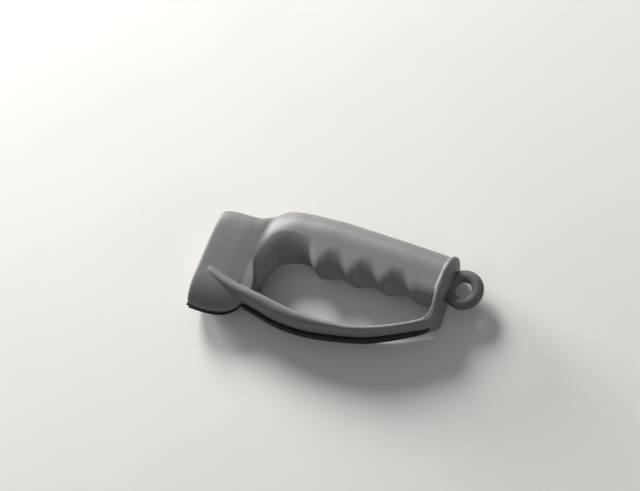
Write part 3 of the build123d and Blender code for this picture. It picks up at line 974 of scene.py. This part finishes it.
def strip_form(name, half, deep, stand, extra, corner):
    """The strip let into the guard, or the tool that cuts its channel."""
    start = BLOCK_TAIL + STRIP_START_GAP / BODY_LENGTH
    count = round((STRIP_THIN_TO - start) * BODY_LENGTH / BODY_STEP)
    rings = []
    for index in range(count + 1):
        share = between(start, STRIP_THIN_TO, index / count)
        rings.append(strip_ring(share, half, deep, stand, extra, corner))
    return loft(name, rings)


# What a user may change


class SharpenerSizes(bpy.types.PropertyGroup):
    """Fineness of the meshes, and the small gaps and edges"""

    grain: bpy.props.FloatProperty(
        name="Mesh grain",
        description="Size of the faces of the shells",
        default=0.36 * MM,
        unit="LENGTH",
    )
    draft_grain: bpy.props.FloatProperty(
        name="Draft grain",
        description="Size of the faces while trying things",
        default=0.6 * MM,
        unit="LENGTH",
    )
    softness: bpy.props.IntProperty(
        name="Softness",
        description="How far the inner corners of the moulding are melted",
        default=5,
    )
    seam_gap: bpy.props.FloatProperty(
        name="Seam gap",
        description="Gap between the two shells",
        default=0.03 * MM,
        unit="LENGTH",
    )
    edge_break: bpy.props.FloatProperty(
        name="Edge break",
        description="Bevel on the edges of small pieces",
        default=0.2 * MM,
        unit="LENGTH",
    )
    eye_grain: bpy.props.FloatProperty(
        name="Eye grain",
        description="Size of the faces of the hanging eye",
        default=0.22 * MM,
        unit="LENGTH",
    )


class SharpenerColours(bpy.types.PropertyGroup):
    """Colours of the pieces and of the floor"""

    shell: bpy.props.FloatVectorProperty(
        name="Shells",
        description="Grey of the shells",
        default=(0.215, 0.215, 0.217),
        subtype="COLOR",
    )
    block: bpy.props.FloatVectorProperty(
        name="Guide block",
        description="Black of the guide block",
        default=(0.012, 0.011, 0.010),
        subtype="COLOR",
    )
    strip: bpy.props.FloatVectorProperty(
        name="Strip",
        description="Black of the strip",
        default=(0.010, 0.009, 0.008),
        subtype="COLOR",
    )
    # The eye's grey is the shells' grey darkened, as painted shade.
    ring: bpy.props.FloatVectorProperty(
        name="Hanging eye",
        description="Grey of the hanging eye",
        default=(0.15, 0.145, 0.14),
        subtype="COLOR",
    )
    carbide: bpy.props.FloatVectorProperty(
        name="Carbide",
        description="Metal of the blades",
        default=(0.42, 0.42, 0.44),
        subtype="COLOR",
    )
    zinc: bpy.props.FloatVectorProperty(
        name="Screws",
        description="Metal of the screws",
        default=(0.58, 0.58, 0.60),
        subtype="COLOR",
    )
    floor: bpy.props.FloatVectorProperty(
        name="Floor",
        description="Colour of the floor",
        default=(0.95, 0.93, 0.90),
        subtype="COLOR",
    )


# One operator for each piece


class SHARPENER_OT_shells(bpy.types.Operator):
    """Model the near and far shell in one skin, part them at the seam and cut their pockets"""

    bl_idname = "sharpener.shells"
    bl_label = "Shells"

    def execute(self, context):
        sizes = context.scene.sharpener_sizes
        grain = sizes.grain
        near = outside_form(grain, sizes.softness)
        near.name = "near_shell_moulding"
        far = double(near, "far_shell_moulding")
        corner = Vector((BODY_LENGTH, BODY_HEIGHT, BODY_HEIGHT))
        half_gap = sizes.seam_gap / 2
        under = block("under", -corner, (corner.x, corner.y, SEAM_Z + half_gap))
        over = block("over", (-corner.x, -corner.y, SEAM_Z - half_gap), corner)
        cut(near, under)
        cut(far, over)
        drop(under, over)
        channel = strip_form(
            "channel_tool", STRIP_HALF_WIDTH + FIT, STRIP_DEPTH + FIT, STRIP_STAND, OVERRUN, FIT
        )
        inside = gathered(block_envelope(FIT), eye_tool(), channel, *hollow_tools())
        near_holes, far_holes = screw_tools()
        near_tool = gathered(near_holes, double(inside, "near_inside"))
        far_tool = gathered(far_holes, inside)
        cut(near, near_tool)
        cut(far, far_tool)
        drop(near_tool, far_tool)
        material = grey_plastic(context.scene.sharpener_colours.shell)
        finished(near, material, "grey_shell", "near_shell")
        finished(far, material, "grey_shell", "far_shell")
        return {"FINISHED"}


class SHARPENER_OT_blocks(bpy.types.Operator):
    """Finish the two halves of the guide block with broken edges"""

    bl_idname = "sharpener.blocks"
    bl_label = "Guide block"

    def execute(self, context):
        material = black_plastic(context.scene.sharpener_colours.block)
        width = context.scene.sharpener_sizes.edge_break
        for node in ("guide_block_front", "guide_block_rear"):
            piece = traced(node, node + "_moulding")
            envelope = block_envelope(0)
            cut(piece, envelope, "INTERSECT")
            drop(envelope)
            broken(piece, width)
            finished(piece, material, "black_block", node)
        return {"FINISHED"}


class SHARPENER_OT_carbides(bpy.types.Operator):
    """Finish the two crossed carbide blades with ground edges"""

    bl_idname = "sharpener.carbides"
    bl_label = "Carbide blades"

    def execute(self, context):
        material = ground_carbide(context.scene.sharpener_colours.carbide)
        width = context.scene.sharpener_sizes.edge_break
        for node in ("carbide_near", "carbide_far"):
            piece = traced(node, node + "_blade")
            broken(piece, width, segments=1)
            finished(piece, material, "carbide", node)
        return {"FINISHED"}


class SHARPENER_OT_screws(bpy.types.Operator):
    """Finish the screws of the guide block and of the shells"""

    bl_idname = "sharpener.screws"
    bl_label = "Screws"

    def execute(self, context):
        material = zinc_steel(context.scene.sharpener_colours.zinc)
        width = context.scene.sharpener_sizes.edge_break
        for node in ("block_screws", "shell_screws"):
            piece = traced(node, node + "_steel")
            broken(piece, width)
            finished(piece, material, "screw_steel", node)
        return {"FINISHED"}


class SHARPENER_OT_strip(bpy.types.Operator):
    """Draw the soft black strip along the outside of the guard"""

    bl_idname = "sharpener.strip"
    bl_label = "Guard strip"

    def execute(self, context):
        sizes = (STRIP_HALF_WIDTH, STRIP_DEPTH, STRIP_STAND, STRIP_LEAST, STRIP_CORNER)
        strip = strip_form("soft_strip", *sizes)
        work(strip, "SUBSURF", levels=1, render_levels=1)
        material = soft_black(context.scene.sharpener_colours.strip)
        finished(strip, material, "black_strip", "guard_strip")
        return {"FINISHED"}


class SHARPENER_OT_eye(bpy.types.Operator):
    """Model the hanging eye: a ring cut flush with the end plate, on a stem with a flange"""

    bl_idname = "sharpener.eye"
    bl_label = "Hanging eye"

    def execute(self, context):
        ring = eye_torus(EYE_WIRE_RADIUS)
        ring.name = "hanging_ring"
        corner = Vector((BODY_LENGTH, BODY_HEIGHT, BODY_HEIGHT))
        behind = block("behind", -corner, (along(1) + EYE_CLEAR, corner.y, corner.z))
        cut(ring, behind)
        flange, stem = eye_root(0, EYE_WIRE_RADIUS)
        cut(ring, flange, "UNION")
        cut(ring, stem, "UNION")
        place = (along(1) + EYE_REACH, up(EYE_LEVEL))
        bore = pin("bore", place, EYE_BORE_RADIUS, SEAM_Z - OVERRUN, SEAM_Z + OVERRUN)
        cut(ring, bore)
        drop(behind, flange, stem, bore)
        melted(ring, context.scene.sharpener_sizes.eye_grain, EYE_SOFTNESS)
        material = ring_plastic(context.scene.sharpener_colours.ring)
        finished(ring, material, "eye_plastic", "hanging_eye")
        return {"FINISHED"}


# Camera: its right, its up and its backward direction, and the point in the middle of the picture
CAMERA_RIGHT = Vector((0.8936, 0.3777, -0.2427))
CAMERA_UP = Vector((-0.2817, 0.8927, 0.3518))
CAMERA_BACK = Vector((0.3495, -0.2460, 0.9041))
CAMERA_AIM = Vector((-19.2 * MM, 18.1 * MM, 7.7 * MM))
CAMERA_DISTANCE = 5.0
PICTURE_WIDTH = 312 * MM
SENSOR_WIDTH = 36.0

# Lamps: name, direction, size, power in watts, colour
LAMPS = [
    ("window", (-0.60, 0.63, 0.49), 0.5, 16.0, (1.0, 0.985, 0.965)),
    ("side", (-0.93, 0.36, 0.12), 0.5, 24.0, (1.0, 0.99, 0.98)),
    ("fill", (0.85, -0.30, 0.40), 0.7, 1.4, (1.0, 0.97, 0.93)),
]
LAMP_DISTANCE = 1.3
WORLD_COLOUR = (0.93, 0.96, 1.0, 1)
WORLD_STRENGTH = 0.19
FLOOR_SIZE = 4.0


class SHARPENER_OT_stage(bpy.types.Operator):
    """Set the floor, the lights and the camera"""

    bl_idname = "sharpener.stage"
    bl_label = "Stage"

    def lamp(self, name, direction, size, watts, colour):
        """One round lamp that shines on the middle of the picture."""
        bpy.ops.object.select_all(action="DESELECT")
        place = CAMERA_AIM + Vector(direction).normalized() * LAMP_DISTANCE
        bpy.ops.object.light_add(type="AREA", location=place)
        lamp = bpy.context.object
        lamp.name = name
        lamp.data.shape = "DISK"
        lamp.data.size = size
        lamp.data.energy = watts
        lamp.data.color = colour
        lamp.rotation_euler = Vector(direction).to_track_quat("Z", "Y").to_euler()

    def execute(self, context):
        scene = context.scene
        bpy.ops.object.select_all(action="DESELECT")
        bpy.ops.mesh.primitive_plane_add(size=FLOOR_SIZE)
        floor = bpy.context.object
        floor.name = "floor"
        floor.data.materials.append(pale_floor(scene.sharpener_colours.floor))
        for lamp in LAMPS:
            self.lamp(*lamp)
        world = bpy.data.worlds.new("studio")
        scene.world = world
        world.use_nodes = True
        nodes = world.node_tree.nodes
        nodes["Background"].inputs["Color"].default_value = WORLD_COLOUR
        nodes["Background"].inputs["Strength"].default_value = WORLD_STRENGTH
        bpy.ops.object.camera_add()
        camera = bpy.context.object
        camera.name = "camera"
        axes = Matrix((CAMERA_RIGHT, CAMERA_UP, CAMERA_BACK)).transposed().to_4x4()
        camera.matrix_world = Matrix.Translation(CAMERA_AIM + CAMERA_BACK * CAMERA_DISTANCE) @ axes
        camera.data.sensor_width = SENSOR_WIDTH
        camera.data.lens = SENSOR_WIDTH * CAMERA_DISTANCE / PICTURE_WIDTH
        scene.camera = camera
        scene.view_settings.view_transform = "Standard"
        return {"FINISHED"}


class SHARPENER_PT_panel(bpy.types.Panel):
    """Lists the pieces of the sharpener in the order in which they are made"""

    bl_label = "Sharpener"
    bl_idname = "SHARPENER_PT_panel"
    bl_space_type = "VIEW_3D"
    bl_region_type = "UI"
    bl_category = "Sharpener"

    def draw(self, context):
        """One button for each piece, then the sizes and colours."""
        for piece in PIECES:
            self.layout.operator(piece.bl_idname)
        for group in (context.scene.sharpener_sizes, context.scene.sharpener_colours):
            for name in group.__annotations__:
                self.layout.prop(group, name)


PIECES = (
    SHARPENER_OT_shells,
    SHARPENER_OT_blocks,
    SHARPENER_OT_carbides,
    SHARPENER_OT_screws,
    SHARPENER_OT_strip,
    SHARPENER_OT_eye,
    SHARPENER_OT_stage,
)
CLASSES = (SharpenerSizes, SharpenerColours) + PIECES + (SHARPENER_PT_panel,)


def register():
    """Make the operators, the panel and the scene's settings known."""
    for item in CLASSES:
        bpy.utils.register_class(item)
    bpy.types.Scene.sharpener_sizes = bpy.props.PointerProperty(type=SharpenerSizes)
    bpy.types.Scene.sharpener_colours = bpy.props.PointerProperty(type=SharpenerColours)


def unregister():
    """Take the settings and the classes away again."""
    del bpy.types.Scene.sharpener_colours
    del bpy.types.Scene.sharpener_sizes
    for item in reversed(CLASSES):
        bpy.utils.unregister_class(item)


def main():
    """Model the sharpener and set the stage."""
    register()
    bpy.ops.sharpener.shells()
    bpy.ops.sharpener.blocks()
    bpy.ops.sharpener.carbides()
    bpy.ops.sharpener.screws()
    bpy.ops.sharpener.strip()
    bpy.ops.sharpener.eye()
    bpy.ops.sharpener.stage()


if __name__ == "__main__":
    main()
